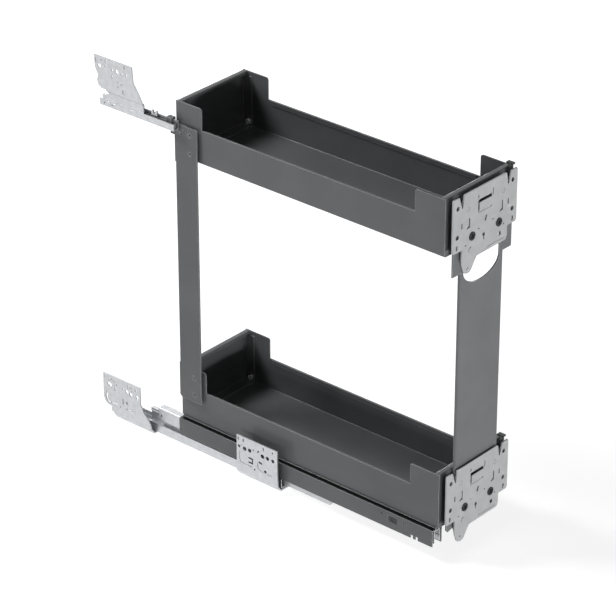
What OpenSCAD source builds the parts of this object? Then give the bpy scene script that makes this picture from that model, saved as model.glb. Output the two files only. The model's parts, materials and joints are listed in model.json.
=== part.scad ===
// Pull-out cabinet rack: two sheet-steel trays between a rear upright and a front post,
// carried by a telescopic runner below and steadied by a small guide rail at the top rear.
// X is the pull-out direction, Y leads away from the cabinet wall, Z is up.
// The origin is on the cabinet wall face, midway between the main holes of the lower rear bracket.

/* [Trays] */
// Length of a tray along the pull-out direction
tray_l = 450; // [380:5:520]
// Width of a tray
tray_w = 132; // [125:1:200]
// Height of a tray at its raised ends
tray_h = 80; // [76:1:110]
// Height of the tray's long sides between the raised ends
side_h = 49; // [46:1:60]
// Length of the raised part at the rear end
rear_raise = 45; // [42:1:60]
// Length of the raised part at the front end
front_raise = 48; // [30:1:70]
// Distance from the underside of the lower tray to that of the upper tray
tray_pitch = 394; // [300:1:480]
// Sheet thickness of the trays
tray_t = 1.5; // [1:0.1:2]
// Width of the flange turned in along each end wall's top
rim_w = 9; // [6:0.5:12]
// Radius of the tray's bends
tray_bend = 2.5; // [2.1:0.1:4]

/* [Rear upright] */
// Width of the rear upright
upright_w = 39; // [36:1:42]
// Sheet thickness of the rear upright
upright_t = 2; // [1.5:0.1:2.5]
// Free gap between the upright and the side of the trays
upright_gap = 3; // [2.5:0.1:4]
// Height of the upright's lower end above the lower tray's underside
upright_foot = 32; // [25:1:38]
// Depth of the stiffening flange on the upright's rear edge
upright_flange = 15; // [8:1:25]

/* [Front post] */
// Width of the post between the trays
post_w = 88; // [84:1:100]
// Width of the post's head and base behind the front plates
head_w = 119; // [112:1:122]
// Sheet thickness of the post
post_t = 2; // [1.5:0.1:2.5]
// Depth of the rounded flanges along the post's edges
post_flange = 3.8; // [3.3:0.1:4.8]
// Width of the round cut-out at the post's top
notch_w = 73; // [60:1:76]
// Depth of the cut-out's round bottom
notch_sag = 22; // [14:1:30]
// Depth of the dark carrier that stands between tray and post
carrier_depth = 5; // [4.5:0.1:8]

/* [Front plates] */
// Overall width of a front plate with its ears
plate_w = 129; // [122:1:132]
// Width of a front plate between its ears
plate_body_w = 92; // [88:1:95]
// Sheet thickness of a front plate
plate_t = 2; // [1.5:0.1:2.5]
// Gap between the post's face and the back of a front plate
plate_gap = 2; // [1.8:0.1:3]
// Distance across the width between the holes for the door front
door_hole_span = 110; // [106:1:112]
// Height between the holes for the door front
door_hole_rise = 40; // [36:1:42]
// Diameter of the holes for the door front
door_hole_d = 6.2; // [5:0.1:6.6]
// Thickness of a locking lever
lever_t = 1.4; // [1:0.1:1.5]

/* [Lower runner] */
// Distance from the cabinet wall to the near side of the trays
wall_gap = 17; // [16:0.5:24]
// Width of the dark runner carrier under the lower tray
beam_w = 20; // [20:0.5:24]
// Height of the runner carrier's near wall
beam_h = 24.5; // [24:0.5:26]
// Gap between the tray's underside and the carrier's lower shoulder
beam_gap = 2.5; // [2:0.1:3]
// Sheet thickness of the runner carrier
beam_t = 1.5; // [1:0.1:1.8]
// Length of the runner carrier
beam_l = 446; // [376:2:446]
// Length of the fixed rail
fixed_l = 316; // [300:2:340]
// Overall width of the fixed rail
fixed_w = 20; // [19:0.5:22]
// Overall height of the fixed rail
fixed_h = 14; // [13:0.5:16]
// Wall thickness of the fixed rail
fixed_t = 1.8; // [1.6:0.1:2]
// Length of the middle rail
middle_l = 328; // [300:2:360]
// Overall width of the inner rail
inner_w = 13; // [13:0.1:14]
// Overall height of the inner rail
inner_h = 19; // [18:0.5:19.5]
// Wall thickness of the inner rail
inner_t = 1.5; // [1.4:0.1:1.6]
// Length by which the inner rail stands out behind the carrier
inner_tail = 42; // [20:1:45]
// Diameter of the balls between fixed and middle rail
ball_d = 4; // [3.6:0.1:4.2]
// Diameter of the balls between middle and inner rail
small_ball_d = 3.2; // [2.8:0.1:3.4]
// Number of balls in each row
balls_per_row = 8; // [4:1:10]

/* [Upper guide] */
// Length of the upper fixed rail
guide_l = 134; // [120:1:136]
// Overall width of the upper fixed rail
guide_w = 10; // [10:0.5:10.5]
// Overall height of the upper fixed rail
guide_h = 13; // [12.5:0.5:13.5]
// Wall thickness of the upper fixed rail
guide_t = 1.5; // [1.2:0.1:1.5]
// Length of the upper middle rail
guide_middle_l = 118; // [100:1:119]
// Length of the guide blade
blade_l = 74; // [60:1:90]
// Thickness of the guide blade and its arm
blade_t = 1.5; // [1:0.1:1.5]

/* [Wall brackets] */
// Sheet thickness of the wall brackets
bracket_t = 2; // [1.5:0.1:2]
// Diameter of the main fixing holes
fix_hole_d = 6.4; // [5:0.1:7]
// Distance between the two main fixing holes of a bracket
fix_span = 32; // [30:1:34]

/* [Hidden] */

$fn = 32;
dark = [0.30, 0.31, 0.32];
black = [0.12, 0.12, 0.13];
zinc = [0.76, 0.77, 0.78];
bright = [0.88, 0.88, 0.89];
// Gap left where two pieces slide on or rest against each other
seat = 0.3;
// Radial clearance of a bolt in its hole
bolt_play = 0.25;
// Radial clearance of a piece that turns in a hole
turn_play = 0.08;
// Face to face overlap that makes one solid of two pieces of the same part
bite = 0.05;

// Places of the main fixing holes and of the pieces along X, from the trays' rear end
rear_fix_x = -106;
rear_fix_z = 8.5;
front_fix_x = 145.5;
front_fix_z = 3;
upper_fix_x = rear_fix_x;
upper_fix_z = tray_pitch + 99;

// Everything is placed from the near lower rear corner of the lower tray
module placed() translate([-rear_fix_x, wall_gap, -rear_fix_z]) children();
// A profile drawn in Y and Z, extended along X
module along_x(x, l) translate([x, 0, 0]) rotate([90, 0, 90]) linear_extrude(l) children();
// A profile drawn in X and Z, extended along Y
module along_y(y, l) translate([0, y + l, 0]) rotate([90, 0, 0]) linear_extrude(l) children();
// A round bar or bore along X, and one along Y
module rod_x(x, l, d) translate([x, 0, 0]) rotate([0, 90, 0]) cylinder(h = l, d = d);
module rod_y(y, l, d) translate([0, y, 0]) rotate([-90, 0, 0]) cylinder(h = l, d = d);
// A slot with round ends, drawn flat, along the first axis
module slot(l, w) {
    square([l - w, w], center = true);
    for (s = [-1, 1]) translate([s * (l - w) / 2, 0]) circle(d = w);
}

// Bent sheet: a face line with rounded corners, thickened to its left side
function unit(v) = v / norm(v);
function left_of(v) = [-v.y, v.x];
function turned(p, w) = [p.x * cos(w) - p.y * sin(w), p.x * sin(w) + p.y * cos(w)];
function bend_arc(a, b, c, r, n) =
    let (u = unit(a - b), v = unit(c - b), half = acos(u * v) / 2)
    let (mid = b + unit(u + v) * r / sin(half), start = b + u * r / tan(half) - mid)
    let (way = -sign(u.x * v.y - u.y * v.x), turn = 180 - 2 * half)
    [for (i = [0 : n]) mid + turned(start, way * turn * i / n)];
function rounded_line(pts, r, n) = concat(
    [pts[0]],
    [for (i = [1 : len(pts) - 2]) each bend_arc(pts[i - 1], pts[i], pts[i + 1], r, n)],
    [pts[len(pts) - 1]]);
function beside(p, d) = [for (i = [0 : len(p) - 1])
    let (j = max(i, 1), k = min(i, len(p) - 2))
    let (n1 = left_of(unit(p[j] - p[j - 1])), n2 = left_of(unit(p[k + 1] - p[k])))
    let (m = unit(n1 + n2)) p[i] + m * d / (m * n1)];
function reversed(p) = [for (i = [len(p) - 1 : -1 : 0]) p[i]];
function sheet(pts, t, r, n = 4) =
    let (line = rounded_line(pts, r, n)) concat(line, reversed(beside(line, t)));

// Lower runner: the cross-section is shared by all its members
beam_y = -7;
runner_y = beam_y + beam_w / 2;
shoulder_z = -beam_gap;
beam_foot = shoulder_z - beam_h;
inner_top = shoulder_z - beam_t;
inner_foot = inner_top - inner_h;
fixed_top = beam_foot - 1.5;
fixed_foot = fixed_top - fixed_h;
fixed_floor = fixed_foot + fixed_t;
fixed_x = -130;
middle_x = -60;
// Ball rows: centre heights, groove radius, and how deep a groove goes
groove_depth = 0.7;
ball_z = fixed_top - 5.5;
small_ball_z = inner_top - 10;
ball_reach = fixed_w / 2 - fixed_t + groove_depth - ball_d / 2 - 0.1;
small_ball_reach = inner_w / 2 - inner_t + groove_depth - small_ball_d / 2 - 0.1;
lower_flange = ball_reach - ball_d / 2 + groove_depth - 0.1;
upper_flange = small_ball_reach - small_ball_d / 2 + groove_depth - 0.1;
flange_h = ball_d + 2.4;
small_flange_h = small_ball_d + 1.8;
web_half = 1.5;
cage_t = 0.8;

module grooves(reach, z, d) for (s = [-1, 1])
    translate([runner_y + s * reach, z]) circle(d = d + 0.2);

module lower_fixed_rail() color(zinc) placed()
    difference() {
        along_x(fixed_x, fixed_l) difference() {
            polygon(sheet([
                [runner_y - fixed_w / 2, fixed_top],
                [runner_y - fixed_w / 2, fixed_foot],
                [runner_y + fixed_w / 2, fixed_foot],
                [runner_y + fixed_w / 2, fixed_top]], fixed_t, fixed_t + 0.4));
            grooves(ball_reach, ball_z, ball_d);
        }
        bracket_rivet_places() translate([0, 0, fixed_foot - 1]) cylinder(h = fixed_t + 2, d = rivet_d + 2 * bolt_play);
        for (x = [fixed_x + 60 : 48 : fixed_x + fixed_l - 110])
            translate([x, runner_y, fixed_foot - 1]) cylinder(h = fixed_t + 2, d = 5);
    }

// I-section that runs in the fixed rail below and carries the inner rail above
module lower_middle_rail() color(zinc) placed()
    difference() {
        along_x(middle_x, middle_l) translate([runner_y, 0]) difference() {
            union() {
                translate([-lower_flange, ball_z - flange_h / 2]) square([2 * lower_flange, flange_h]);
                translate([-web_half, ball_z]) square([2 * web_half, small_ball_z - ball_z]);
                translate([-upper_flange, small_ball_z - small_flange_h / 2])
                    square([2 * upper_flange, small_flange_h]);
            }
            translate([-runner_y, 0]) grooves(ball_reach, ball_z, ball_d);
            translate([-runner_y, 0]) grooves(small_ball_reach, small_ball_z, small_ball_d);
        }
        for (x = [middle_x + 12, middle_x + middle_l - 12])
            translate([x, 0, (ball_z + small_ball_z) / 2]) rod_y(runner_y - 5, 10, 4);
    }

// Cage of thin steel that keeps the balls apart, and its two rows of balls
module ball_cage(x, l, reach, z, d, back_z) {
    pitch = (l - 2 * d) / (balls_per_row - 1);
    leg_h = d + 1.4;
    difference() {
        union() {
            for (s = [-1, 1]) translate([x, runner_y + s * reach - cage_t / 2, min(z - leg_h / 2, back_z)])
                cube([l, cage_t, leg_h / 2 + abs(z - back_z) + (back_z > z ? cage_t : 0)]);
            translate([x, runner_y - reach, back_z]) cube([l, 2 * reach, cage_t]);
        }
        for (i = [0 : balls_per_row - 1], s = [-1, 1])
            translate([x + d + i * pitch, 0, z]) rod_y(runner_y + s * reach - 2 * cage_t, 4 * cage_t, d + 0.3);
    }
    for (i = [0 : balls_per_row - 1], s = [-1, 1])
        translate([x + d + i * pitch, runner_y + s * reach, z]) sphere(d = d, $fn = 24);
}
module lower_ball_cage() color(bright) placed()
    ball_cage(middle_x + 30, middle_l - 148, ball_reach, ball_z, ball_d, ball_z - flange_h / 2 - cage_t - 0.5);
module inner_ball_cage() color(bright) placed()
    ball_cage(middle_x + 55, middle_l - 88, small_ball_reach, small_ball_z, small_ball_d, small_ball_z + small_flange_h / 2 + 0.5);

// Arch-shaped rail that carries the rack and runs on the middle rail
module lower_inner_rail() color(zinc) placed()
    difference() {
        along_x(-inner_tail, beam_l + inner_tail) difference() {
            polygon(sheet([
                [runner_y + inner_w / 2, inner_foot],
                [runner_y + inner_w / 2, inner_top],
                [runner_y - inner_w / 2, inner_top],
                [runner_y - inner_w / 2, inner_foot]], inner_t, inner_t + 0.4));
            grooves(small_ball_reach, small_ball_z, small_ball_d);
        }
        carrier_rivet_places() translate([0, 0, inner_top - 3]) cylinder(h = 4, d = rivet_d + 2 * bolt_play);
        translate([-inner_tail + 5, 0, inner_top - 11]) rod_y(runner_y - inner_w, 2 * inner_w, 3.5);
    }

// Damper cap in the open rear end of the inner rail
module tail_plug() color(black) placed() {
    half = inner_w / 2 - inner_t - seat;
    difference() {
        translate([-inner_tail - 1.2, runner_y - inner_w / 2 + 0.8, inner_foot + 1])
            cube([1.2 - seat / 3, inner_w - 1.6, inner_h - 2.2]);
        translate([-inner_tail - 3, runner_y - upper_flange - 1, inner_foot])
            cube([4, 2 * upper_flange + 2, small_ball_z + small_flange_h / 2 - inner_foot + 1]);
    }
    translate([-inner_tail - 1.2 + bite, runner_y - half, inner_top - inner_t - 3.8])
        cube([9, 2 * half, 3.5]);
}

// Dark beam under the lower tray: a joggled top seats the tray, both walls hang down
rivet_d = 3.2;
joggle_y = 1;
module beam_profile() polygon(sheet([
    [runner_y + beam_w / 2, beam_foot],
    [runner_y + beam_w / 2, 0],
    [joggle_y + beam_gap * 0.6, 0],
    [joggle_y, shoulder_z],
    [beam_y, shoulder_z],
    [beam_y, beam_foot]], beam_t, beam_t + 0.2, 3));
catch_x = beam_l - 74;
module runner_carrier() color(dark) placed()
    difference() {
        along_x(0, beam_l) beam_profile();
        carrier_rivet_places() translate([0, 0, -4]) cylinder(h = 6, d = rivet_d + 2 * bolt_play);
        translate([catch_x, beam_y - 1, shoulder_z - 14]) cube([16, 4, 9]);
        for (x = [beam_l - 36, beam_l - 28]) translate([x, beam_y - 1, beam_foot - 1]) cube([4, 4, 6]);
        translate([4, 0, -15]) rod_y(beam_y - 1, 4, 2.5);
        for (x = [catch_x - 12, catch_x + 26]) translate([x, 0, -9]) rod_y(beam_y - 1, 4, 3);
    }

// Spring catch that shows through the window near the carrier's front end
module carrier_catch() color(black) placed() {
    difference() {
        translate([catch_x + seat, beam_y + 0.2, shoulder_z - 14 + seat]) cube([16 - 2 * seat, beam_t + 0.6, 9 - 2 * seat]);
        translate([catch_x + 4, beam_y - 0.5, shoulder_z - 12]) cube([8, 1.4, 4.5]);
    }
    translate([catch_x - 5, beam_y + beam_t + 0.3, shoulder_z - 15]) cube([26, 0.9, 11]);
}

carrier_rivet_y = 5;
module carrier_rivet_places() for (i = [0 : 3])
    translate([25 + i * (beam_l - 55) / 3, carrier_rivet_y, 0]) children();
module carrier_rivets() color(dark) placed() carrier_rivet_places() {
    translate([0, 0, inner_top - inner_t - 1.2]) cylinder(h = 1.2, d = 4.6);
    translate([0, 0, inner_top - inner_t - bite]) cylinder(h = tray_t + inner_t - inner_top + 2 * bite, d = rivet_d);
    translate([0, 0, tray_t]) cylinder(h = 1, d1 = 4.6, d2 = 3.4);
}

// Wall brackets: bent sheet cut to the outline of each
module wall_sheet(top, knee) along_x(-tray_l, 2 * tray_l) polygon(sheet([
    [-wall_gap, top],
    [-wall_gap, fixed_foot + knee],
    [-wall_gap + knee, fixed_foot - bracket_t],
    [runner_y + fixed_w / 2 - 1, fixed_foot - bracket_t]], bracket_t, bracket_t + 2.5));
module bracket_rivet_places() {
    for (x = [-104, -72]) translate([x, runner_y, 0]) children();
    for (x = [130, 168]) translate([x, runner_y, 0]) children();
}
module lower_bracket_rivets() color(zinc) placed() bracket_rivet_places() {
    translate([0, 0, fixed_foot - bracket_t - 1]) cylinder(h = 1, d1 = 4.2, d2 = 5.4);
    translate([0, 0, fixed_foot - bracket_t - bite]) cylinder(h = bracket_t + fixed_t + 2 * bite, d = rivet_d);
    translate([0, 0, fixed_floor]) cylinder(h = 1, d1 = 5.4, d2 = 4);
}
module wall_hole(x, z, d) translate([x, 0, z]) rod_y(-wall_gap - 2, bracket_t + 4, d);
module wall_slot(x, z, l, w, tilt = 0) translate([x, 0, z])
    rotate([0, -tilt, 0]) along_y(-wall_gap - 2, bracket_t + 4) slot(l, w);
module main_holes(x, z) for (s = [-1, 1]) wall_hole(x + s * fix_span / 2, z, fix_hole_d);
// Pressed rib that stands a little proud of the bracket's inner side
module rib(points) for (i = [0 : len(points) - 2]) {
    run = points[i + 1] - points[i];
    translate([points[i].x, -wall_gap + bracket_t - bite, points[i].y])
        rotate([0, -atan2(run.y, run.x), 0]) translate([0, 0, -1.1]) cube([norm(run), 0.8, 2.2]);
}

module lower_rear_bracket() color(zinc) placed()
    difference() {
        union() {
            intersection() {
                wall_sheet(rear_fix_z + 15.5, 7);
                along_y(-wall_gap - 1, 40) polygon([
                    [-135, 24.5], [-64.5, 24.5], [-64.5, -3], [-58, -13.5], [-51, -20.5], [-46, -28],
                    [-45, -36], [-45, -50], [-116, -50], [-116, -25.5], [-127, -24], [-132.5, -20.5], [-135, -15]]);
            }
            rib([[-121, -22.5], [-107, -22.5]]);
            rib([[-99, -28], [-72, -28]]);
            // Collar pressed up round the small hole in the middle
            translate([-90, 0, -10]) rod_y(-wall_gap + bracket_t - bite, 1.4, 10);
        }
        main_holes(rear_fix_x, rear_fix_z);
        for (p = [[-82.3, 6.8, 6], [-70.4, 6.4, 5.6], [-96.8, 10, 3.6], [-109, 12.5, 3], [-80.2, 12.6, 2]])
            wall_hole(p.x, p.y, p.z);
        for (p = [[-131.2, 18.6, 3.2], [-72.6, 17.2, 3.8], [-129.5, -4.5, 2.4], [-102.7, -20.5, 2.2], [-90, -10, 4.4]])
            wall_hole(p.x, p.y, p.z);
        wall_slot(-112.5, 6, 9, 2.4, 90);
        wall_slot(-123.3, 17.5, 7, 2.4, 90);
        wall_slot(-116, 17.2, 8, 2.2, -20);
        wall_slot(-125.5, 9.5, 5, 3, 60);
        wall_slot(-87.4, 17.5, 6.5, 2.2, 90);
        wall_slot(-82, 17, 5, 2, -30);
        wall_slot(-97.5, -10, 11, 2, 90);
        wall_slot(-114.6, -18.7, 13, 2.2);
        wall_slot(-82.5, -19.6, 19, 2.6);
        // Crescent-shaped slot at the free end
        along_y(-wall_gap - 2, bracket_t + 4) polygon(concat(
            [for (i = [0 : 9]) let (w = 150 + 12 * i) [-121 + 10.4 * cos(w), -11.5 + 11.8 * sin(w)]],
            [for (i = [9 : -1 : 0]) let (w = 150 + 12 * i) [-121 + 6.8 * cos(w), -11.5 + 8 * sin(w)]]));
        bracket_rivet_places() translate([0, 0, fixed_foot - bracket_t - 1]) cylinder(h = bracket_t + 2, d = rivet_d + 2 * bolt_play);
    }

module lower_front_bracket() color(zinc) placed()
    difference() {
        union() {
            intersection() {
                wall_sheet(front_fix_z + 17.5, 7);
                along_y(-wall_gap - 1, 40) polygon([
                    [115, 22], [188, 22], [188, -50], [117, -50], [115, -47]]);
            }
            for (r = front_ribs) along_y(-wall_gap + bracket_t - bite, 0.8)
                polygon(sheet([for (q = r) q + [2.4, 2.8]], 2.2, 3.4, 3));
        }
        main_holes(front_fix_x, front_fix_z);
        for (p = [[138.5, 3.4, 6], [170.4, 3.2, 6], [180, 2.6, 5.4], [119.6, 3.6, 4.6]]) wall_hole(p.x, p.y, p.z);
        for (p = [[144.9, 6.6, 2.2], [147.3, -23, 2.8], [179.5, 15, 2.6], [166.4, -19.2, 4.6], [124.6, 6.8, 1.6]])
            wall_hole(p.x, p.y, p.z);
        for (x = [118, 127]) wall_slot(x, 15, 5, 2, 90);
        wall_slot(153.8, 7.4, 5, 1.8, 50);
        wall_slot(163, 14.6, 6, 1.6, 90);
        wall_slot(157.6, -8.6, 7, 3, -10);
        // Tongue cut free on three sides
        for (z = [-8.4, -15.2]) wall_slot(140.5, z, 9, 2.6);
        translate([142.6, -wall_gap - 1, -15.2]) cube([1.8, bracket_t + 2, 6.8]);
        // Grooves that outline the two pressed ribs
        for (r = front_ribs) groove(r);
        bracket_rivet_places() translate([0, 0, fixed_foot - bracket_t - 1]) cylinder(h = bracket_t + 2, d = rivet_d + 2 * bolt_play);
    }
front_ribs = [
    [[119.8, -4], [119.8, -17.5], [122.8, -20.8], [142.5, -21.4]],
    [[152.6, -10], [152.6, -18.5], [157.2, -21.6], [178, -22.4]]];
// Shallow groove pressed into a bracket's wall side
module groove(points) along_y(-wall_gap - 1, 1.8) polygon(sheet(points, 1.4, 2.6, 3));

// Upper guide rail: a small channel open upwards, hung on a joggled bracket
upright_y = -upright_gap - upright_t;
guide_y = upright_y - 1 - guide_w;
guide_x = -124;
guide_z = tray_pitch + side_h - 7;
guide_floor = guide_z + guide_t;
guide_top = guide_z + guide_h;
foot_y = guide_y + guide_t;
blade_room = guide_w - 2 * guide_t - bracket_t;
blade_mid = foot_y + bracket_t + blade_room / 2;
guide_middle_w = blade_room - 2 * seat;
guide_middle_t = 1;
near_drop = 3.2;
blade_top = guide_top - near_drop;
guide_middle_h = guide_h - guide_t - seat - 4.6;
module clinch_places() for (x = [-108, -96.5, -66])
    translate([x, 0, guide_z + guide_h / 2]) children();

module upper_fixed_rail() color(zinc) placed()
    difference() {
        along_x(guide_x, guide_l) polygon(sheet([
            [guide_y, guide_top - near_drop],
            [guide_y, guide_z],
            [guide_y + guide_w, guide_z],
            [guide_y + guide_w, guide_top]], guide_t, guide_t + 0.3));
        clinch_places() rod_y(guide_y - 1, guide_t + 2, rivet_d + 2 * bolt_play);
        translate([guide_x - 1, guide_y - 1, guide_z + guide_h - 6]) rotate([0, -28, 0]) translate([-20, 0, -2]) cube([20, guide_w + 2, 20]);
        for (x = [-40, -20]) translate([x, blade_mid, guide_z - 1]) cylinder(h = guide_t + 2, d = 3);
        for (x = [-115, -101]) translate([x, 0, guide_z + guide_h / 2 - 1]) rod_y(guide_y - 1, guide_t + 2, 2.2);
    }

module upper_middle_rail() color(dark) placed()
    along_x(-112, guide_middle_l) polygon(sheet([
        [blade_mid - guide_middle_w / 2, guide_floor + seat + guide_middle_h],
        [blade_mid - guide_middle_w / 2, guide_floor + seat],
        [blade_mid + guide_middle_w / 2, guide_floor + seat],
        [blade_mid + guide_middle_w / 2, guide_floor + seat + guide_middle_h]],
        guide_middle_t, guide_middle_t + 0.2, 3));

module upper_bracket() color(zinc) placed()
    difference() {
        intersection() {
            along_x(-tray_l, tray_l) polygon(sheet([
                [-wall_gap, upper_fix_z + 14],
                [-wall_gap, guide_top + 11],
                [foot_y, guide_top + 8],
                [foot_y, guide_floor + 2 * seat]], bracket_t, bracket_t + 0.4));
            along_y(-wall_gap - 1, 12) polygon([for (p = [
                [-131, 14], [-63, 14], [-61, -8], [-51, -22], [-45, -33], [-45, -60],
                [-120, -60], [-120, -41], [-108, -38.5], [-111.5, -31.5], [-119, -31.3], [-124.5, -28],
                [-126.8, -22], [-124.8, -13.5], [-129.8, -4], [-131, 4]]) [p.x, upper_fix_z + p.y]]);
        }
        main_holes(upper_fix_x, upper_fix_z);
        for (p = [[-110.5, 2.6, 3.4], [-98.7, 0, 3.8], [-98.7, -9.4, 3.4], [-81.2, -0.8, 3.8], [-73.2, -0.6, 3.8]])
            wall_hole(p.x, upper_fix_z + p.y, p.z);
        for (p = [[-87.9, -14, 2.8], [-82.3, -17, 2.6], [-88, -21, 2.6], [-117.5, 9.4, 2.8]])
            wall_hole(p.x, upper_fix_z + p.y, p.z);
        wall_slot(-110, upper_fix_z + 9.6, 6, 2.6, 90);
        wall_slot(-79.2, upper_fix_z - 26.5, 7, 2.2, 90);
        wall_slot(-128, upper_fix_z + 7, 7, 1.8, 90);
        wall_slot(-76, upper_fix_z + 9.5, 6, 1.8, 90);
        clinch_places() rod_y(foot_y - 1, bracket_t + 2, rivet_d + 2 * bolt_play);
    }

module upper_bracket_rivets() color(zinc) placed() clinch_places() {
    translate([0, guide_y, 0]) rotate([90, 0, 0]) cylinder(h = 0.8, d1 = 5, d2 = 3.8);
    rod_y(guide_y - bite, guide_t + bracket_t - seat / 2 + bite, rivet_d);
}

// Blade that runs in the upper middle rail, with an arm that reaches over to the upright
arm_x = -8;
arm_w = 8.4;
clamp_w = 29;
blade_x = arm_x + arm_w - blade_l;
arm_foot = tray_pitch + 31;
arm_top = guide_top + 2.6;
blade_foot = guide_floor + 2 * seat + guide_middle_t;
guide_bolts = [[9, 38.5, 4], [17.5, 43.5, 2.6]];
module guide_bolt_holes(y, l) for (b = guide_bolts)
    translate([b.x, 0, tray_pitch + b.y]) rod_y(y, l, b.z + 2 * bolt_play);
module guide_arm() color(dark) placed()
    difference() {
        union() {
            along_x(arm_x, arm_w) polygon(sheet([
                [-upright_gap + blade_t, arm_foot],
                [-upright_gap + blade_t, arm_top],
                [blade_mid - blade_t / 2, arm_top],
                [blade_mid - blade_t / 2, blade_foot]], blade_t, blade_t + 0.4));
            translate([arm_x, -upright_gap, arm_foot]) cube([clamp_w, blade_t, tray_pitch + side_h - arm_foot]);
            translate([blade_x, blade_mid - blade_t / 2, blade_foot])
                cube([blade_l, blade_t, blade_top - blade_foot]);
        }
        guide_bolt_holes(-upright_gap - 1, blade_t + 2);
        translate([upright_screw_x, 0, 0]) upper_screw_heights() rod_y(-upright_gap - 1, blade_t + 2, 13.5);
    }
glide_x = -34;
module guide_glide() color(zinc) placed() difference() {
    translate([glide_x, blade_mid - 1.4, blade_top - 1]) cube([10, 2.8, 8.8]);
    translate([glide_x - 1, blade_mid - blade_t / 2 - 0.1, blade_top - 2]) cube([12, blade_t + 0.2, 2.1]);
    // Rounded gap between its two prongs
    translate([glide_x + 5, 0, blade_top + 4.6]) rod_y(blade_mid - 3, 6, 4.8);
    translate([glide_x + 2.6, blade_mid - 3, blade_top + 4.6]) cube([4.8, 6, 5]);
}
module guide_arm_bolts() color(bright) placed() for (b = guide_bolts)
    translate([b.x, upright_y, tray_pitch + b.y]) {
        rotate([90, 0, 0]) difference() {
            cylinder(h = 0.8, d1 = 1.6 * b.z, d2 = 1.4 * b.z);
            translate([0, 0, 0.3]) cylinder(h = 1, d = 0.6 * b.z);
        }
        rod_y(-bite, upright_t + blade_t + 0.4, b.z);
    }

// Trays: one folded sheet each, low along the middle of the long sides
module tray_side_outline() polygon([
    [0, tray_bend], [tray_l, tray_bend], [tray_l, tray_h],
    [tray_l - front_raise, tray_h], [tray_l - front_raise, side_h],
    [rear_raise, side_h], [rear_raise, tray_h], [0, tray_h]]);
module tray_cutaway() {
    corner = 4;
    translate([0, 0]) difference() {
        translate([rear_raise, side_h]) square([tray_l - rear_raise - front_raise, tray_h]);
        translate([rear_raise - 1, side_h - 1]) square([corner + 1, 1]);
    }
    for (e = [[rear_raise, -1], [tray_l - front_raise, 1]]) translate([e[0], tray_h]) difference() {
        translate([e[1] > 0 ? 0 : -corner, -corner]) square([corner, corner + 1]);
        translate([e[1] * corner, -corner]) circle(r = corner);
    }
}
// Lips by which the end walls are welded in
lip_w = 15;
lip_t = 1;
module tray_shell() {
    difference() {
        along_x(0, tray_l) polygon(sheet([
            [0, tray_h], [0, 0], [tray_w, 0], [tray_w, tray_h]], tray_t, tray_bend));
        along_y(-1, tray_w + 2) tray_cutaway();
    }
    // End walls with the flange turned in at the top
    inside = tray_w - 2 * tray_t;
    along_y(tray_t - bite, inside + 2 * bite) polygon(sheet([
        [0, tray_bend], [0, tray_h], [rim_w, tray_h], [rim_w, tray_h - 4]], -tray_t, tray_t + 0.6));
    along_y(tray_t - bite, inside + 2 * bite) polygon(sheet([
        [tray_l, tray_bend], [tray_l, tray_h], [tray_l - rim_w, tray_h], [tray_l - rim_w, tray_h - 4]],
        tray_t, tray_t + 0.6));
    for (x = [0, tray_l - tray_t]) translate([x, tray_t - bite, tray_t / 2])
        cube([tray_t, inside + 2 * bite, tray_bend]);
    // Lips of the end walls, folded in along the floor and the two sides
    for (x = [tray_t - bite, tray_l - tray_t - lip_w]) {
        translate([x, tray_t - bite, tray_t - bite]) cube([lip_w + bite, inside + 2 * bite, lip_t + bite]);
        for (y = [tray_t - bite, tray_w - tray_t - lip_t])
            translate([x, y, tray_t]) cube([lip_w + bite, lip_t + bite, tray_h - 8]);
    }
    // Hems folded inwards along the low sides
    for (y = [tray_t - bite, tray_w - tray_t - 1.2])
        translate([rear_raise + 6, y, side_h - 6]) cube([tray_l - rear_raise - front_raise - 12, 1.2 + bite, 6]);
}
upright_screw_x = 28;
upright_heights = [[0, 69], [0, 43], [tray_pitch, 39], [tray_pitch, 12]];
module upper_screw_heights() for (h = upright_heights) if (h[0] > 0)
    translate([0, 0, h[0] + h[1]]) children();
corner_screw_places = [[10, 7], [tray_l - 10, 7]];
post_screw_places = [[26, 44], [tray_w - 26, 44]];
module tray_with_holes(base, heights) translate([0, 0, base]) difference() {
    tray_shell();
    for (h = heights) translate([upright_screw_x, 0, h]) rod_y(-1, tray_t + 4, 4 + 2 * bolt_play);
    for (p = corner_screw_places) translate([p.x, 0, p.y]) rod_y(tray_w - tray_t - lip_t - 2, tray_t + lip_t + 4, 4 + 2 * bolt_play);
    for (p = post_screw_places) translate([0, p.x, p.y]) rod_x(tray_l - tray_t - 2, tray_t + 4, 5 + 2 * bolt_play);
}
module lower_tray() color(dark) placed() difference() {
    tray_with_holes(0, [69, 43]);
    carrier_rivet_places() translate([0, 0, -1]) cylinder(h = tray_t + 2, d = rivet_d + 2 * bolt_play);
}
module upper_tray() color(dark) placed() tray_with_holes(tray_pitch, [39, 12]);
module tray_corner_screws() color(bright) placed() for (base = [0, tray_pitch], p = corner_screw_places)
    translate([p.x, tray_w, base + p.y]) {
        rod_y(-tray_t - lip_t - 2.2, 2.2, 8);
        rod_y(-tray_t - lip_t - bite, tray_t + lip_t + 2 * bite, 4);
        rod_y(0, 1.2, 6);
    }

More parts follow.
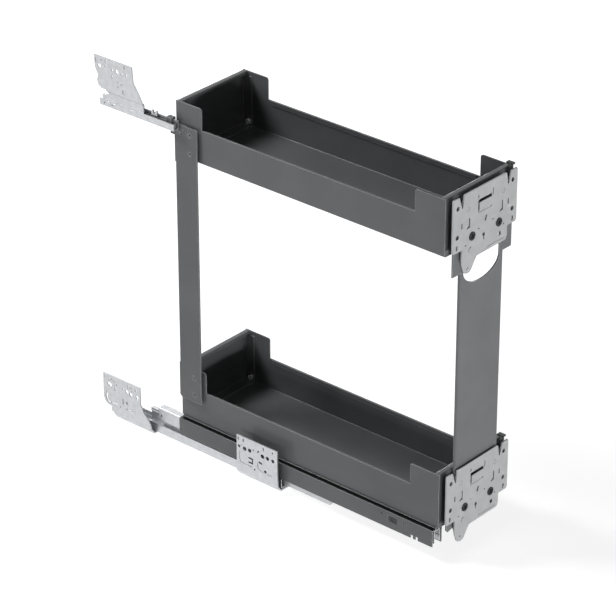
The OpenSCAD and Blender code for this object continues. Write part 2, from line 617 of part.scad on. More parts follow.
// Rear upright: flat sheet with a rear flange, standing off the trays on pressed pads
module upright_screw_spots() for (h = upright_heights)
    translate([upright_screw_x, 0, h[0] + h[1]]) children();
upright_x = 1;
module rear_upright() color(dark) placed()
    difference() {
        union() {
            along_y(upright_y, upright_t) polygon([
                [upright_x, upright_foot + 3], [upright_x + 3, upright_foot],
                [upright_x + upright_w, upright_foot], [upright_x + upright_w, tray_pitch + side_h],
                [upright_x, tray_pitch + side_h]]);
            intersection() {
                translate([0, 0, tray_h + 6]) linear_extrude(tray_pitch - tray_h - 12) polygon(sheet([
                    [upright_x + upright_w / 2, upright_y], [upright_x, upright_y],
                    [upright_x, upright_y + upright_flange]], -upright_t, upright_t + 0.5));
                translate([upright_x - 1, upright_y - 1, tray_h]) cube([upright_w, upright_flange + 2, tray_pitch]);
            }
            upright_screw_spots() rod_y(upright_y + upright_t - bite, upright_gap + bite, 12);
        }
        translate([upright_x - 1, upright_y - 1, tray_h + 6]) difference() {
            cube([3.5, 3.5, tray_pitch - tray_h - 12]);
            translate([3.5, 3.5, -1]) cylinder(h = tray_pitch, r = 2.5);
        }
        upright_screw_spots() rod_y(upright_y - 1, upright_t + upright_gap + 2, 4 + 2 * bolt_play);
        upright_screw_spots() translate([0, upright_y - 0.01, 0]) rotate([-90, 0, 0]) cylinder(h = 2.4, d1 = 9, d2 = 4.4);
        guide_bolt_holes(upright_y - 1, upright_t + 2);
    }
module upright_screws() color(bright) placed() upright_screw_spots() {
    translate([0, upright_y + 0.1, 0]) rotate([-90, 0, 0]) difference() {
        cylinder(h = 2.1, d1 = 8, d2 = 4);
        translate([0, 0, -0.5]) cylinder(h = 1.7, d = 2.6);
    }
    rod_y(upright_y + 2, upright_t + upright_gap + tray_t + 1.2, 4);
}
module upright_nuts() color(bright) placed() upright_screw_spots() difference() {
    rod_y(tray_t, 3, 7.6, $fn = 6);
    rod_y(tray_t - 1, 5, 4 + 2 * bolt_play);
}

// Front post: rounded channel with a wide head and base, and a round cut-out below the upper tray
mid_y = tray_w / 2;
post_back = tray_l + carrier_depth;
post_face = post_back + post_t;
post_y = mid_y + 1.5;
post_foot = -10;
post_head = tray_pitch + 70;
ear_foot = tray_pitch - 29;
notch_z = tray_pitch - 30;
// Cut-out with an oval bottom
module notch_outline() polygon(concat(
    [for (i = [0 : 24]) let (w = 180 + 7.5 * i) [post_y - 1.2 + notch_w / 2 * cos(w), notch_z + notch_sag * sin(w)]],
    [[post_y - 1.2 + notch_w / 2, tray_pitch + 4], [post_y - 1.2 - notch_w / 2, tray_pitch + 4]]));
module post_outline() difference() {
    union() {
        translate([post_y - post_w / 2, post_foot]) square([post_w, post_head - post_foot]);
        translate([post_y - head_w / 2, ear_foot]) square([head_w, post_head - ear_foot]);
        polygon([
            [post_y - head_w / 2, -4], [post_y - head_w / 2 + 3, -8],
            [post_y - post_w / 2 + 4, -4], [post_y + post_w / 2 - 4, -4],
            [post_y + head_w / 2, 9], [post_y + head_w / 2, 70], [post_y - head_w / 2, 70]]);
        translate([post_y + head_w / 2 - 5.5, 9]) circle(r = 5.5);
    }
    translate([post_y + head_w / 2 - 5.5, 9]) circle(r = 2);
}
module post_screw_spots() for (base = [0, tray_pitch], p = post_screw_places)
    translate([0, p.x, base + p.y]) children();
module front_post() color(dark) placed()
    difference() {
        union() {
            along_x(post_back, post_t) post_outline();
            // Edge flanges between the two plates, rounded at the corner
            translate([0, 0, 76]) linear_extrude(ear_foot - 76) for (s = [-1, 1])
                polygon([for (p = sheet([
                    [post_face, post_y - 4], [post_face, post_y - post_w / 2],
                    [post_face - post_flange, post_y - post_w / 2]], -post_t, post_t + 1))
                    [p.x, s > 0 ? p.y : 2 * post_y - p.y]]);
        }
        // The sharp outer corner goes where the flange is rounded
        for (s = [-1, 1]) translate([post_face, post_y + s * post_w / 2, 76]) mirror([0, s > 0 ? 1 : 0, 0]) difference() {
            translate([-3, -1, 0]) cube([4, 4, ear_foot - 76]);
            translate([-3, 3, -1]) cylinder(h = tray_pitch, r = 3);
            translate([-4, 3, -1]) cube([5, 2, tray_pitch]);
        }
        along_x(post_back - 6, post_t + 12) notch_outline();
        post_screw_spots() rod_x(post_back - 1, post_t + 2, 5 + 2 * bolt_play);
        // Room for the rivet head behind each locking lever
        for (base = [0, tray_pitch]) translate([0, lever_pivot.x, base + lever_pivot.y]) rod_x(post_back - 1, post_t + 2, 10);
    }

// Dark carriers between tray front and post, each with a small hook at the far top corner
module front_carrier(base) {
    low = 6;
    high = 74;
    translate([0, 0, base]) difference() {
        union() {
            along_y(12, tray_w - 24) polygon(sheet([
                [tray_l, low], [tray_l + carrier_depth, low],
                [tray_l + carrier_depth, high], [tray_l, high]], 2, 2.4));
            translate([tray_l + carrier_depth - 2, tray_w - 12, 60]) cube([2, 9, 26]);
            translate([tray_l - 3, tray_w - 8, 84]) cube([carrier_depth + 5, 6, 2.4]);
        }
        for (p = post_screw_places) translate([0, p.x, p.y]) rod_x(tray_l - 1, carrier_depth + 2, 5 + 2 * bolt_play);
        for (y = [mid_y - 20, mid_y + 20]) translate([0, y, 24]) rod_x(tray_l - 1, carrier_depth + 2, 14);
    }
}
module lower_front_carrier() color(dark) placed() front_carrier(0);
module upper_front_carrier() color(dark) placed() front_carrier(tray_pitch);

screw_head_h = 1.5;
module post_screws() color(bright) placed() post_screw_spots() {
    rod_x(post_face, screw_head_h, 9);
    rod_x(tray_l - tray_t - 4.4, carrier_depth + post_t + tray_t + 4.4 + bite, 5);
}
module post_nuts() color(bright) placed() post_screw_spots() difference() {
    rod_x(tray_l - tray_t - 4, 4, 9.2, $fn = 6);
    rod_x(tray_l - tray_t - 5, 6, 5 + 2 * bolt_play);
}

// Front plates: pressed zinc plates that carry the cabinet's door front
plate_back = post_face + plate_gap;
plate_face = plate_back + plate_t;
plate_low = -12.5;
plate_high = tray_h + 1.5;
adjuster_places = [[mid_y - 26, 19], [mid_y + 28, 18]];
lever_pivot = [mid_y - 28, 0.5];
plate_rivet_places = [[mid_y - 35, 59.5], [mid_y + 36, 59]];
door_hole_low = 27;
module ear_outline(s) translate([mid_y, 0]) {
    x0 = plate_body_w / 2;
    x1 = plate_w / 2;
    polygon([[s * (x0 - 3), 64.5], [s * (x0 + 1), 64.5], [s * (x0 + 6), plate_high - 1], [s * (x1 - 1.5), plate_high - 0.5],
        [s * x1, plate_high - 2], [s * x1, 9], [s * (x1 - 2), 6.5], [s * (x0 + 1), 6.5], [s * (x0 - 3), 2]]);
}
module plate_outline() difference() {
    union() {
        translate([mid_y, 0]) polygon([
            [-plate_body_w / 2, plate_low + 3], [-plate_body_w / 2 + 3, plate_low],
            [plate_body_w / 2 - 3, plate_low], [plate_body_w / 2, plate_low + 5],
            [plate_body_w / 2 - 1, 64.5], [plate_body_w / 2 - 3.4, plate_high - 1.5], [plate_body_w / 2 - 5, plate_high],
            [-plate_body_w / 2 + 5, plate_high], [-plate_body_w / 2 + 3.4, plate_high - 1.5], [-plate_body_w / 2 + 1, 64.5]]);
        for (s = [-1, 1]) ear_outline(s);
    }
    // Holes for the door front, with a small slot below each pair
    for (s = [-1, 1], k = [0, 1])
        translate([mid_y + s * door_hole_span / 2, door_hole_low + k * door_hole_rise]) circle(d = door_hole_d);
    for (s = [-1, 1]) translate([mid_y + s * (door_hole_span / 2 + 1), 13]) rotate(90) slot(7, 3);
    for (s = [-1, 1]) translate([mid_y + s * (plate_body_w / 2 + 0.5), 40]) rotate(90) slot(8, 2);
    // Adjuster bores, lever pivot and the row of small holes
    for (p = adjuster_places) translate(p) circle(d = 8 + 2 * turn_play);
    translate(lever_pivot) circle(d = 5 + 2 * bolt_play);
    translate([mid_y + 31, 1.2]) circle(d = 6);
    translate([mid_y - 2, 12.5]) circle(d = 5);
    translate([mid_y - 2, 8.5]) rotate(90) slot(6, 1.6);
    translate([mid_y + 1.5, 34]) rotate(70) slot(8, 3);
    // Curved slots to each side of the window
    for (s = [-1, 1]) translate([mid_y + s * 33, 39]) {
        translate([1.6, 0]) rotate(90) slot(14, 2.2);
        translate([-0.6, -5.2]) rotate(35) slot(6.5, 2.2);
    }
    for (p = [[-14, 70], [-38, 10], [38, 12], [16, 27], [-12, 24]])
        translate([mid_y + p.x, p.y]) circle(d = 2.2);
    // Window of the raised tab, with a slit that runs on above its far corner
    translate([mid_y - 14.5, 46]) square([27, 18.5]);
    translate([mid_y + 15.2, 66]) rotate(90) slot(10, 1.4);
    translate([mid_y - 14, 68]) rotate(90) slot(4, 1.4);
}
module front_plate(base) translate([0, 0, base]) {
    difference() {
        union() {
            along_x(plate_back, plate_t) plate_outline();
            for (p = plate_rivet_places) translate([0, p.x, p.y]) rod_x(post_face, plate_gap + bite, 8);
            for (s = [-1, 1]) translate([0, mid_y + s * 50, 20]) rod_x(post_face, plate_gap + bite, 5);
            // Folded rim along the body's lower edge
            translate([plate_face - bite, mid_y + 4, plate_low + 3]) cube([0.7, plate_body_w / 2 - 10, 1.6]);
            // Raised tab that leans out of the window
            along_y(mid_y - 13.5, 25) polygon(sheet([
                [plate_back, 44.5], [plate_back, 47.5], [plate_back + 2.2, 51], [plate_back + 2.2, 61.2]],
                -1.4, 1.8, 3));
        }
        for (p = plate_rivet_places) translate([0, p.x, p.y]) rod_x(post_face - 1, plate_gap + plate_t + 2, rivet_d + 2 * bolt_play);
        for (p = plate_rivet_places) translate([plate_face - 0.8, p.x, p.y]) rod_x(0, 1, 6.4);
    }
}
module lower_front_plate() color(zinc) placed() front_plate(0);
module upper_front_plate() color(zinc) placed() front_plate(tray_pitch);
module plate_rivets() color(zinc) placed() for (base = [0, tray_pitch], p = plate_rivet_places)
    translate([0, p.x, base + p.y]) {
        rod_x(plate_face - 0.8, 0.7, 5.6);
        rod_x(post_face + 0.1, plate_gap + plate_t - 0.8, rivet_d);
    }

// Locking levers: flat tongues that hang below the front plates and swing on a pivot rivet
lever_back = post_face + (plate_gap - lever_t) / 2;
module lock_lever(base) translate([lever_back, lever_pivot.x, base + lever_pivot.y]) rotate([90, 0, 90])
    linear_extrude(lever_t) difference() {
        union() {
            circle(r = 9.5);
            polygon([[-9.5, 1], [-14, -4], [-15.6, -9], [-14.8, -17], [-12.4, -23], [-10.8, -27.6], [-7.8, -31], [-3, -32.8],
                [1.6, -32.6], [5, -30.6], [8, -26.2], [12, -20], [17, -13.6], [19, -9], [9.5, 1]]);
        }
        circle(d = 5 + 2 * turn_play);
        translate([-3, -25]) circle(d = 3);
    }
module lower_lock_lever() color(zinc) placed() lock_lever(0);
module upper_lock_lever() color(zinc) placed() lock_lever(tray_pitch);
module lever_pivots() color(zinc) placed() for (base = [0, tray_pitch])
    translate([0, lever_pivot.x, base + lever_pivot.y]) {
        rod_x(plate_face, 1, 7.5);
        rod_x(lever_back - 0.4, plate_face - lever_back + 0.4 + bite, 5);
        rod_x(lever_back - 1.2, 1, 8);
    }

// Adjusting screws with a cross recess: they turn in the plate and bear on the post
module adjuster(base, place) translate([0, place.x, base + place.y]) difference() {
    union() {
        rod_x(post_face + 0.05, plate_face - post_face + 0.3, 8);
        rod_x(plate_face + 0.05, 1.3, 11.6);
    }
    for (w = [0, 90]) rotate([w + 20, 0, 0]) translate([plate_face + 0.1, -4, -0.9]) cube([3, 8, 1.8]);
}
module lower_left_adjuster() color(bright) placed() adjuster(0, adjuster_places[0]);
module lower_right_adjuster() color(bright) placed() adjuster(0, adjuster_places[1]);
module upper_left_adjuster() color(bright) placed() adjuster(tray_pitch, adjuster_places[0]);
module upper_right_adjuster() color(bright) placed() adjuster(tray_pitch, adjuster_places[1]);

lower_fixed_rail();
lower_rear_bracket();
lower_front_bracket();
lower_bracket_rivets();
upper_fixed_rail();
upper_bracket();
upper_bracket_rivets();
lower_middle_rail();
lower_ball_cage();
inner_ball_cage();
upper_middle_rail();
lower_inner_rail();
runner_carrier();
carrier_catch();
carrier_rivets();
tail_plug();
lower_tray();
upper_tray();
tray_corner_screws();
rear_upright();
upright_screws();
upright_nuts();
guide_arm();
guide_glide();
guide_arm_bolts();
front_post();
lower_front_carrier();
upper_front_carrier();
post_screws();
post_nuts();
lower_front_plate();
upper_front_plate();
plate_rivets();
lower_lock_lever();
upper_lock_lever();
lever_pivots();
lower_left_adjuster();
lower_right_adjuster();
upper_left_adjuster();
upper_right_adjuster();
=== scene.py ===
import bpy
import json
import math
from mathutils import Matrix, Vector

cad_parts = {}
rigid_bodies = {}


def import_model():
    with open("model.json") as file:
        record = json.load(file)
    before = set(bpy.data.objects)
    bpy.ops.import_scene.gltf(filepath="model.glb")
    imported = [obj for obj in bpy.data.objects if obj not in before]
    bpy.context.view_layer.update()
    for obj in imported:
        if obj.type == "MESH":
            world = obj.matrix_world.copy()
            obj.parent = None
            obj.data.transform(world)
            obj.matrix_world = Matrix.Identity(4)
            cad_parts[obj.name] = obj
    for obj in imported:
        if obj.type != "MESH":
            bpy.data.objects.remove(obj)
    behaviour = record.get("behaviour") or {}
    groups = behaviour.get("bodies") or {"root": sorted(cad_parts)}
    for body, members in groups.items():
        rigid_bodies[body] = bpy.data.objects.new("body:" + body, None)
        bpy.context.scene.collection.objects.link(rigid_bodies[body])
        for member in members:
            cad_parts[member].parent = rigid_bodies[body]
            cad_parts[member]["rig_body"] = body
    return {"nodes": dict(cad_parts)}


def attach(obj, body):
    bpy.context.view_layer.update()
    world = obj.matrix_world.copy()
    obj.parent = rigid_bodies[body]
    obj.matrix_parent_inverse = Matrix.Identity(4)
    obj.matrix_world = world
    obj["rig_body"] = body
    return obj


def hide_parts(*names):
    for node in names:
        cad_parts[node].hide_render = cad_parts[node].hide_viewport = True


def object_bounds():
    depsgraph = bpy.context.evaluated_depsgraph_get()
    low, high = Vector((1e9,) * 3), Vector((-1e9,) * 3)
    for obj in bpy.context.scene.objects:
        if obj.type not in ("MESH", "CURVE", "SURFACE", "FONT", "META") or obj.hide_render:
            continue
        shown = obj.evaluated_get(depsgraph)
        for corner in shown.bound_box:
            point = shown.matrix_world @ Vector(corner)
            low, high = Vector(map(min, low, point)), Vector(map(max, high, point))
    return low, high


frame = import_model()
cad_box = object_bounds()

# Camera at the photograph's viewing angle.
# It stands in front of the rack's pull-out end and looks down on the trays with a long lens.
# Lens and sensor are in millimetres, and all other lengths in metres.
view_target = Vector((0.28181, 0.0770, 0.19469))
view_azimuth = 40.832
view_elevation = 28.323
view_distance = 4.1695
lens_length = 183.91
sensor_width = 36
farthest_seen = 50


def direction(azimuth, elevation):
    """The way from the target to a place at these two angles, which are in degrees."""
    turn = math.radians(azimuth)
    rise = math.radians(elevation)
    return Vector((math.sin(turn) * math.cos(rise), -math.cos(turn) * math.cos(rise), math.sin(rise)))


def face_target(thing, away):
    """Turns a camera or a lamp, which stands that way from the target, to look back at it."""
    thing.rotation_euler = (-away).to_track_quat("-Z", "Y").to_euler()


bpy.ops.object.select_all(action="DESELECT")
view_back = direction(view_azimuth, view_elevation)
bpy.ops.object.camera_add(location=view_target + view_back * view_distance)
camera = bpy.context.object
face_target(camera, view_back)
camera.data.lens = lens_length
camera.data.sensor_width = sensor_width
camera.data.clip_end = farthest_seen
bpy.context.scene.camera = camera
bpy.context.scene.view_settings.view_transform = "Standard"

# Studio floor: a plain white sheet just below the rack.
# It keeps the rack's soft shadow and shows white where nothing shades it.
floor_width = 12
floor_gap = 0.004
floor_tone = 0.62
floor_glow = 0.80


def shown_to_eye(tree):
    """1 for what is seen directly, in a reflection or through glass, and 0 for what only gives light."""
    ray = tree.nodes.new("ShaderNodeLightPath")
    shown = ray.outputs["Is Camera Ray"]
    for kind in ("Is Glossy Ray", "Is Transmission Ray"):
        larger = tree.nodes.new("ShaderNodeMath")
        larger.operation = "MAXIMUM"
        tree.links.new(shown, larger.inputs[0])
        tree.links.new(ray.outputs[kind], larger.inputs[1])
        shown = larger.outputs[0]
    return shown


bpy.ops.object.select_all(action="DESELECT")
bpy.ops.mesh.primitive_plane_add(size=floor_width, location=(0, 0, cad_box[0].z - floor_gap))
floor = bpy.context.object
floor.name = "studio_floor"
paper = bpy.data.materials.new("white_paper")
paper.use_nodes = True
tree = paper.node_tree
tree.nodes.clear()
matt = tree.nodes.new("ShaderNodeBsdfDiffuse")
matt.inputs["Color"].default_value = (floor_tone, floor_tone, floor_tone, 1)
strength = tree.nodes.new("ShaderNodeMath")
strength.operation = "MULTIPLY"
strength.inputs[1].default_value = floor_glow
glow = tree.nodes.new("ShaderNodeEmission")
both = tree.nodes.new("ShaderNodeAddShader")
out = tree.nodes.new("ShaderNodeOutputMaterial")
tree.links.new(shown_to_eye(tree), strength.inputs[0])
tree.links.new(strength.outputs[0], glow.inputs["Strength"])
tree.links.new(matt.outputs[0], both.inputs[0])
tree.links.new(glow.outputs[0], both.inputs[1])
tree.links.new(both.outputs[0], out.inputs["Surface"])
floor.data.materials.append(paper)

# Studio light: a room that looks white but lights little, and large soft lamps.
# Three low lamps light the outer sides and leave the trays' insides dark.
# One high at the rear left lights the trays' floors, and the front lamp stands below the trays' rims.
room_light = 0.05
room_white = 1.0


def plain_background(tree, strength):
    background = tree.nodes.new("ShaderNodeBackground")
    background.inputs["Color"].default_value = (1, 1, 1, 1)
    background.inputs["Strength"].default_value = strength
    return background.outputs[0]


def soft_lamp(name, azimuth, elevation, distance, width, height, watts):
    """A flat lamp that faces the camera's target from the given side."""
    away = direction(azimuth, elevation)
    bpy.ops.object.select_all(action="DESELECT")
    bpy.ops.object.light_add(type="AREA", location=view_target + away * distance)
    lamp = bpy.context.object
    lamp.name = name
    lamp.data.shape = "RECTANGLE"
    lamp.data.size = width
    lamp.data.size_y = height
    lamp.data.energy = watts
    face_target(lamp, away)


room = bpy.data.worlds.new("white_room")
bpy.context.scene.world = room
room.use_nodes = True
tree = room.node_tree
tree.nodes.clear()
blend = tree.nodes.new("ShaderNodeMixShader")
out = tree.nodes.new("ShaderNodeOutputWorld")
tree.links.new(shown_to_eye(tree), blend.inputs[0])
tree.links.new(plain_background(tree, room_light), blend.inputs[1])
tree.links.new(plain_background(tree, room_white), blend.inputs[2])
tree.links.new(blend.outputs[0], out.inputs["Surface"])
soft_lamp("front_lamp", azimuth=84, elevation=-5.2, distance=2.3, width=2.0, height=0.08, watts=46)
soft_lamp("window_lamp", azimuth=300, elevation=50, distance=2.4, width=1.0, height=0.7, watts=41)
soft_lamp("side_lamp", azimuth=4, elevation=1, distance=2.6, width=2.0, height=0.42, watts=17)
soft_lamp("far_lamp", azimuth=215, elevation=2, distance=2.6, width=2.4, height=0.42, watts=36)

# Trays: one folded sheet each, with a thick semi-matt graphite powder coat.
# The coat rounds every cut edge a little and has a fine orange-peel surface, and a lighter tone along every
# edge and bend is a painted highlight.
tray_edge = 0.0005
coat_specular = 0.28
coat_relief = 0.25
coat_relief_depth = 0.00025
coat_relief_scale = 620
# Tone and reach of the painted highlight along every edge and bend.
painted_edge_highlight_tone = (0.52, 0.525, 0.53)
painted_edge_highlight_reach = 0.0007


def new_finish(name, color, roughness, metallic=0.0):
    finish = bpy.data.materials.new(name)
    finish.use_nodes = True
    shader = shader_of(finish)
    shader.inputs["Base Color"].default_value = (*color, 1)
    shader.inputs["Roughness"].default_value = roughness
    shader.inputs["Metallic"].default_value = metallic
    return finish


def shader_of(finish):
    return finish.node_tree.nodes["Principled BSDF"]


def grain(finish, scale, detail, stretch=(1, 1, 1)):
    """Cloudy noise that is fixed to the piece. A stretch value below 1 draws it out into streaks that way."""
    tree = finish.node_tree
    place = tree.nodes.new("ShaderNodeTexCoord")
    turn = tree.nodes.new("ShaderNodeMapping")
    turn.inputs["Scale"].default_value = stretch
    noise = tree.nodes.new("ShaderNodeTexNoise")
    noise.inputs["Scale"].default_value = scale
    noise.inputs["Detail"].default_value = detail
    tree.links.new(place.outputs["Object"], turn.inputs["Vector"])
    tree.links.new(turn.outputs["Vector"], noise.inputs["Vector"])
    return noise.outputs["Fac"]


def vary_color(finish, pattern, darkest, lightest):
    dark_until = 0.3
    light_from = 0.7
    tree = finish.node_tree
    steps = tree.nodes.new("ShaderNodeValToRGB")
    steps.color_ramp.elements[0].position = dark_until
    steps.color_ramp.elements[0].color = (*darkest, 1)
    steps.color_ramp.elements[1].position = light_from
    steps.color_ramp.elements[1].color = (*lightest, 1)
    tree.links.new(pattern, steps.inputs["Fac"])
    tree.links.new(steps.outputs["Color"], shader_of(finish).inputs["Base Color"])


def vary_roughness(finish, pattern, smoothest, roughest):
    tree = finish.node_tree
    fit = tree.nodes.new("ShaderNodeMapRange")
    fit.inputs["To Min"].default_value = smoothest
    fit.inputs["To Max"].default_value = roughest
    tree.links.new(pattern, fit.inputs["Value"])
    tree.links.new(fit.outputs["Result"], shader_of(finish).inputs["Roughness"])


def add_relief(finish, pattern, strength, depth):
    tree = finish.node_tree
    bump = tree.nodes.new("ShaderNodeBump")
    bump.inputs["Strength"].default_value = strength
    bump.inputs["Distance"].default_value = depth
    tree.links.new(pattern, bump.inputs["Height"])
    tree.links.new(bump.outputs["Normal"], shader_of(finish).inputs["Normal"])


def lay_over(finish, share, tone):
    """Mixes a second tone into a finish that already has a varied colour, by a share from 0 to 1."""
    tree = finish.node_tree
    color = shader_of(finish).inputs["Base Color"]
    mix = tree.nodes.new("ShaderNodeMixRGB")
    mix.inputs["Color2"].default_value = (*tone, 1)
    tree.links.new(color.links[0].from_socket, mix.inputs["Color1"])
    tree.links.new(share, mix.inputs["Fac"])
    tree.links.new(mix.outputs["Color"], color)


def along_edges(finish, reach):
    """1 in a thin band along every edge, where a rounded normal leaves the face's own, and 0 elsewhere."""
    bevel_samples = 6
    still_flat = 0.99
    fully_turned = 0.9
    tree = finish.node_tree
    rounded = tree.nodes.new("ShaderNodeBevel")
    rounded.samples = bevel_samples
    rounded.inputs["Radius"].default_value = reach
    surface = tree.nodes.new("ShaderNodeNewGeometry")
    match = tree.nodes.new("ShaderNodeVectorMath")
    match.operation = "DOT_PRODUCT"
    fade = tree.nodes.new("ShaderNodeMapRange")
    fade.inputs["From Min"].default_value = still_flat
    fade.inputs["From Max"].default_value = fully_turned
    tree.links.new(rounded.outputs["Normal"], match.inputs[0])
    tree.links.new(surface.outputs["Normal"], match.inputs[1])
    tree.links.new(match.outputs["Value"], fade.inputs["Value"])
    return fade.outputs["Result"]


def coat_surface(finish):
    """The orange-peel surface and low shine that both powder coats have."""
    shader_of(finish).inputs["Specular IOR Level"].default_value = coat_specular
    add_relief(finish, grain(finish, coat_relief_scale, detail=2), coat_relief, coat_relief_depth)


def softened(node, finish, edge, concave=False):
    """Puts a copy of a CAD piece, with its cut edges rounded, in the place of the piece itself."""
    merge_distance = 0.000004
    flat_within = math.radians(0.6)
    edge_from = math.radians(32)
    smooth_within = math.radians(28)
    face_weight = 80
    edge_steps = 2
    source = frame["nodes"][node]
    bpy.ops.object.select_all(action="DESELECT")
    piece = source.copy()
    piece.data = source.data.copy()
    piece.name = node + "_finished"
    piece.data.name = node + "_finished"
    for key in list(piece.keys()):
        if key.startswith("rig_"):
            del piece[key]
    piece.parent = None
    bpy.context.scene.collection.objects.link(piece)
    piece.select_set(True)
    bpy.context.view_layer.objects.active = piece
    bpy.ops.object.mode_set(mode="EDIT")
    bpy.ops.mesh.select_all(action="SELECT")
    bpy.ops.mesh.remove_doubles(threshold=merge_distance)
    bpy.ops.mesh.dissolve_limited(angle_limit=flat_within)
    if concave:
        bpy.ops.mesh.vert_connect_concave()
    bpy.ops.object.mode_set(mode="OBJECT")
    if edge:
        bevel = piece.modifiers.new("edge", "BEVEL")
        bevel.width = edge
        bevel.segments = edge_steps
        bevel.limit_method = "ANGLE"
        bevel.angle_limit = edge_from
        bevel.use_clamp_overlap = True
        bpy.ops.object.modifier_apply(modifier="edge")
    piece.data.materials.clear()
    piece.data.materials.append(finish)
    bpy.ops.object.shade_smooth_by_angle(angle=smooth_within)
    flat = piece.modifiers.new("flat", "WEIGHTED_NORMAL")
    flat.weight = face_weight
    flat.keep_sharp = True
    bpy.ops.object.modifier_apply(modifier="flat")
    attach(piece, source["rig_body"])
    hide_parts(node)


graphite = new_finish("graphite_powder_coat", color=(0.115, 0.118, 0.122), roughness=0.48)
vary_color(graphite, grain(graphite, scale=14, detail=4),
           darkest=(0.104, 0.107, 0.111), lightest=(0.124, 0.127, 0.131))
vary_roughness(graphite, grain(graphite, scale=420, detail=3), smoothest=0.26, roughest=0.38)
coat_surface(graphite)
# Painted highlight: a light tone laid in a thin band along every edge and bend.
lay_over(graphite, along_edges(graphite, painted_edge_highlight_reach), painted_edge_highlight_tone)
softened("lower_tray", graphite, tray_edge)
softened("upper_tray", graphite, tray_edge)

# Screws in the trays' far corners: small pan heads inside, shank ends outside.
# They are turned steel with a light, satin zinc plate.
screw_edge = 0.0002


def turned_steel(name, color, roughness, scale, smoothest, roughest):
    """Steel whose shine varies a little from place to place."""
    steel = new_finish(name, color, roughness, metallic=1.0)
    vary_roughness(steel, grain(steel, scale, detail=3), smoothest, roughest)
    return steel


satin = turned_steel("satin_steel", color=(0.95, 0.95, 0.95), roughness=0.45,
                     scale=900, smoothest=0.40, roughest=0.52)
softened("tray_corner_screws", satin, screw_edge)

# Rear upright: a flat graphite strip with pressed pads that stand it off the trays.
# Four dark countersunk screws with bright nuts inside the trays hold it.
coated_edge = 0.0003
flush_edge = 0.0001
dull = turned_steel("dark_passivated_steel", color=(0.14, 0.14, 0.145), roughness=0.42,
                    scale=700, smoothest=0.34, roughest=0.5)
bright = turned_steel("polished_steel", color=(0.74, 0.75, 0.77), roughness=0.2,
                      scale=900, smoothest=0.14, roughest=0.30)
softened("rear_upright", graphite, coated_edge)
softened("upright_screws", dull, flush_edge)
softened("upright_nuts", bright, screw_edge)

# Upper guide arm: a bent graphite sheet with a long blade that runs in the small rail.
# A hollow rivet and a bolt hold it to the upright and the upper tray.
sheet_edge = 0.0002
softened("guide_arm", graphite, sheet_edge)
softened("guide_arm_bolts", dull, flush_edge)

# Upper guide: fixed rail with its bracket and rivets, and a two-pronged piece on the arm's blade.
# They are sheet steel with zinc plate, which has a cloudy grain and faint streaks from rolling.
# The dark middle rail runs inside the fixed one.
bracket_edge = 0.00025
middle_rail_edge = 0.00015
rolling_streaks = (0.12, 1, 1)
relief_streaks = (0.1, 1, 1)
zinc = new_finish("zinc_plated_sheet", color=(0.48, 0.49, 0.505), roughness=0.44, metallic=1.0)
vary_color(zinc, grain(zinc, scale=150, detail=5),
           darkest=(0.44, 0.45, 0.465), lightest=(0.52, 0.53, 0.545))
vary_roughness(zinc, grain(zinc, scale=380, detail=4, stretch=rolling_streaks),
               smoothest=0.36, roughest=0.52)
add_relief(zinc, grain(zinc, scale=900, detail=3, stretch=relief_streaks),
           strength=0.18, depth=0.00012)
softened("upper_fixed_rail", zinc, sheet_edge)
softened("guide_glide", zinc, sheet_edge)
softened("upper_bracket", zinc, bracket_edge)
softened("upper_bracket_rivets", zinc, flush_edge)
softened("upper_middle_rail", graphite, middle_rail_edge)

# Front post and the near-black carriers between it and the trays, whose near black is partly their dark coat
# and partly painted shade.
# The post is bent sheet with a round cut-out below the upper tray, coated like the trays.
# Near black: partly the carriers' dark coat, partly painted shade for the gap between the trays and the
# plates.
dark_coat_and_gap_shade = new_finish("dark_carrier_coat_and_painted_gap_shade", color=(0.03, 0.031, 0.033), roughness=0.5)
coat_surface(dark_coat_and_gap_shade)
softened("front_post", graphite, coated_edge, concave=True)
softened("lower_front_carrier", dark_coat_and_gap_shade, sheet_edge)
softened("upper_front_carrier", dark_coat_and_gap_shade, sheet_edge)
softened("post_screws", bright, screw_edge)
softened("post_nuts", bright, screw_edge)

# Front plates with their levers, rivets and adjusting screws.
# They are punched and pressed from zinc-plated sheet with a greyer, duller finish than the rails.
# The adjusting screws are steel, coloured near black as painted shade for their dark cross recesses.
upright_streaks = (1, 1, 0.2)
plate_zinc = new_finish("zinc_plated_plate", color=(0.34, 0.345, 0.35), roughness=0.6, metallic=0.15)
vary_color(plate_zinc, grain(plate_zinc, scale=70, detail=5),
           darkest=(0.32, 0.325, 0.33), lightest=(0.36, 0.365, 0.37))
vary_roughness(plate_zinc, grain(plate_zinc, scale=500, detail=4, stretch=upright_streaks),
               smoothest=0.52, roughest=0.66)
add_relief(plate_zinc, grain(plate_zinc, scale=900, detail=3, stretch=upright_streaks),
           strength=0.2, depth=0.00014)
softened("lower_front_plate", plate_zinc, sheet_edge)
softened("upper_front_plate", plate_zinc, sheet_edge)
softened("plate_rivets", plate_zinc, flush_edge)
softened("lower_lock_lever", plate_zinc, sheet_edge)
softened("upper_lock_lever", plate_zinc, sheet_edge)
softened("lever_pivots", plate_zinc, flush_edge)
# Painted shade: the adjusters' near-black colour stands in for the shade of their cross recesses.
recess_shade_steel = new_finish("steel_dark_as_recess_shade", color=(0.035, 0.035, 0.037), roughness=0.4, metallic=1.0)
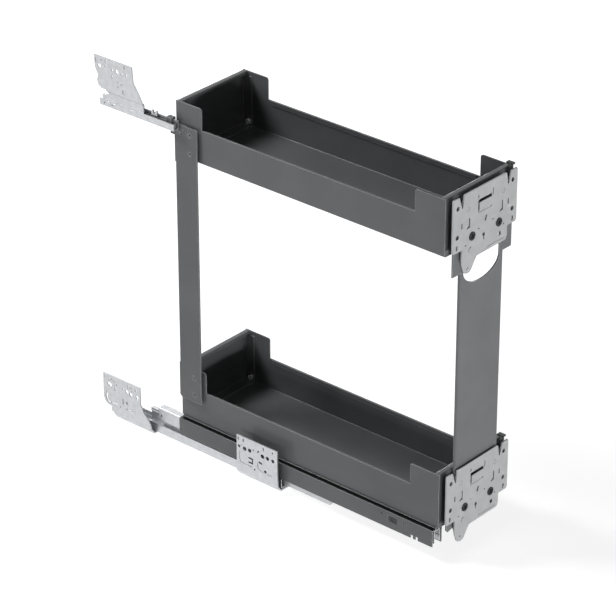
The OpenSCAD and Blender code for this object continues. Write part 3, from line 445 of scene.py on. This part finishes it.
for level in ("lower", "upper"):
    for side in ("left", "right"):
        softened(f"{level}_{side}_adjuster", recess_shade_steel, screw_edge)

# Lower runner: fixed rail, middle rail and inner rail, with two ball cages between them.
# The rails are rolled from zinc-plated steel, and a plastic cap closes the inner rail's end.
thin_rail_edge = 0.0001
as_made = 0
black = new_finish("black_plastic", color=(0.022, 0.022, 0.024), roughness=0.5)
vary_roughness(black, grain(black, scale=500, detail=2), smoothest=0.42, roughest=0.6)
add_relief(black, grain(black, scale=1500, detail=2), strength=0.2, depth=0.0001)
softened("lower_fixed_rail", zinc, sheet_edge)
softened("lower_middle_rail", zinc, thin_rail_edge)
softened("lower_inner_rail", zinc, sheet_edge)
softened("lower_ball_cage", bright, as_made)
softened("inner_ball_cage", bright, as_made)
softened("tail_plug", black, sheet_edge)

# Runner carrier under the lower tray, with its spring catch and rivets.
# It is a long folded beam with the trays' graphite coat, and its upward faces carry near-black painted shade
# for the unlit ledge beside the tray.
upward_from = 0.9
shaded_tone = (0.004, 0.004, 0.004)


def on_upper_faces(finish, least):
    """1 on the faces that look up, and 0 on all others."""
    tree = finish.node_tree
    facing = tree.nodes.new("ShaderNodeTexCoord")
    parts = tree.nodes.new("ShaderNodeSeparateXYZ")
    is_up = tree.nodes.new("ShaderNodeMath")
    is_up.operation = "GREATER_THAN"
    is_up.inputs[1].default_value = least
    tree.links.new(facing.outputs["Normal"], parts.inputs["Vector"])
    tree.links.new(parts.outputs["Z"], is_up.inputs[0])
    return is_up.outputs["Value"]


graphite_with_painted_top_shade = graphite.copy()
graphite_with_painted_top_shade.name = "graphite_with_painted_ledge_shade"
# Painted shade: every face that looks up gets the near-black tone.
lay_over(graphite_with_painted_top_shade, on_upper_faces(graphite_with_painted_top_shade, upward_from), shaded_tone)
softened("runner_carrier", graphite_with_painted_top_shade, coated_edge)
softened("carrier_catch", black, sheet_edge)
softened("carrier_rivets", graphite, flush_edge)

# Lower wall brackets: punched zinc sheet, bent in under the fixed rail and riveted to it.
# Each has its field of fixing holes, slots and pressed ribs.
softened("lower_rear_bracket", zinc, bracket_edge)
softened("lower_front_bracket", zinc, bracket_edge)
softened("lower_bracket_rivets", zinc, flush_edge)
